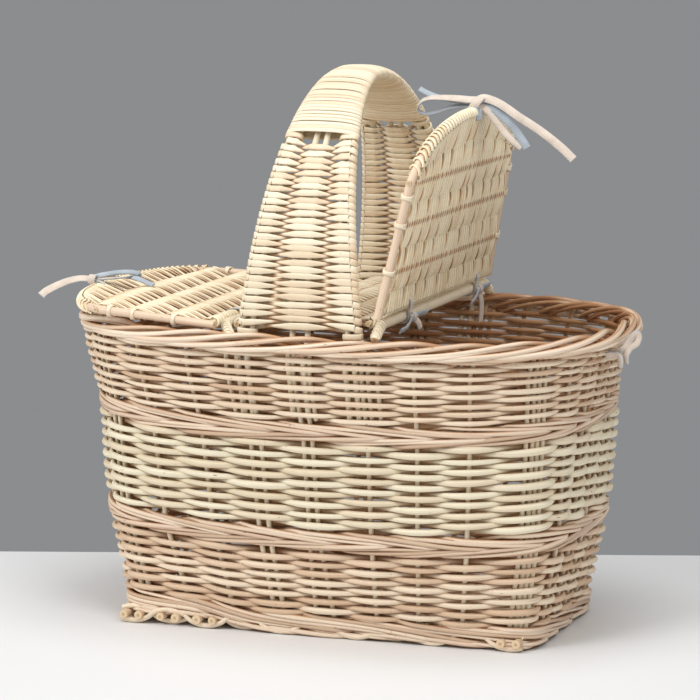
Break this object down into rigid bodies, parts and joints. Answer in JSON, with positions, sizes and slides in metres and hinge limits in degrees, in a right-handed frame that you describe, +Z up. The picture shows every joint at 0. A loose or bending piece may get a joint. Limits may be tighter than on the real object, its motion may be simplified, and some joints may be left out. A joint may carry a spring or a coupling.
{
  "type": "picnic basket",
  "caption": "Woven willow picnic basket with a hoop handle, a fixed bridge and two hinged lids, one of them open.",
  "frame": {"origin": "on the ground under the middle of the base", "axes": "+X along the basket to the open lid, -Y to the front, +Z up"},
  "size_m": [0.4972, 0.3066, 0.4569],
  "materials": {
    "willow": "peeled willow rod",
    "willow_brown": "peeled willow rod, darker",
    "willow_pale": "peeled willow rod and skein, pale",
    "leather": "undyed suede"
  },
  "bodies": {
    "basket": {"foot_wale": "willow_brown", "base_stick_pair_1": "willow_brown", "base_stick_pair_2": "willow_brown", "base_stick_pair_3": "willow_brown", "base_stick_pair_4": "willow_brown", "base_stick_pair_5": "willow_brown", "base_stick_pair_6": "willow_brown", "base_weave": "willow", "cross_league_1": "willow_brown", "cross_league_2": "willow_brown", "cross_league_3": "willow_brown", "cross_league_4": "willow_brown", "cross_league_5": "willow_brown", "cross_league_6": "willow_brown", "cross_league_7": "willow_brown", "cross_league_8": "willow_brown", "cross_league_9": "willow_brown", "long_league_5": "willow_brown", "long_league_1": "willow_brown", "long_league_2": "willow_brown", "long_league_3": "willow_brown", "long_league_4": "willow_brown", "lower_weave": "willow", "lower_wale": "willow", "middle_weave": "willow", "upper_wale": "willow", "upper_weave": "willow", "rim_border": "willow", "handle_rib_1": "willow", "handle_rib_2": "willow", "handle_rib_3": "willow", "handle_rib_4": "willow", "handle_rib_5": "willow", "handle_rib_6": "willow", "front_leg_weave": "willow_pale", "back_leg_weave": "willow_pale", "grip_binding": "willow_pale", "left_crossbar": "willow", "right_crossbar": "willow", "bridge_weave": "willow_pale", "left_latch_loop": "leather", "right_latch_loop": "leather"},
    "left_lid": {"left_lid_bow": "willow_brown", "left_lid_hinge_rod": "willow", "left_lid_rib_1": "willow", "left_lid_rib_2": "willow", "left_lid_rib_3": "willow", "left_lid_weave": "willow_pale", "left_hinge_tie_front": "leather", "left_hinge_tie_back": "leather", "left_closing_thong": "leather"},
    "right_lid": {"right_lid_bow": "willow_brown", "right_lid_hinge_rod": "willow", "right_lid_rib_1": "willow", "right_lid_rib_2": "willow", "right_lid_rib_3": "willow", "right_lid_weave": "willow_pale", "right_hinge_tie_front": "leather", "right_hinge_tie_back": "leather", "right_closing_thong": "leather"}
  },
  "joints": [
    {"name": "left_lid_hinge", "type": "hinge", "parent": "basket", "child": "left_lid", "pos_m": [-0.0665, 0, 0.2655], "axis": [0, 1, 0], "range_deg": [0, 98]},
    {"name": "right_lid_hinge", "type": "hinge", "parent": "basket", "child": "right_lid", "pos_m": [0.0665, 0, 0.2655], "axis": [0, -1, 0], "range_deg": [-78, 20]}
  ]
}
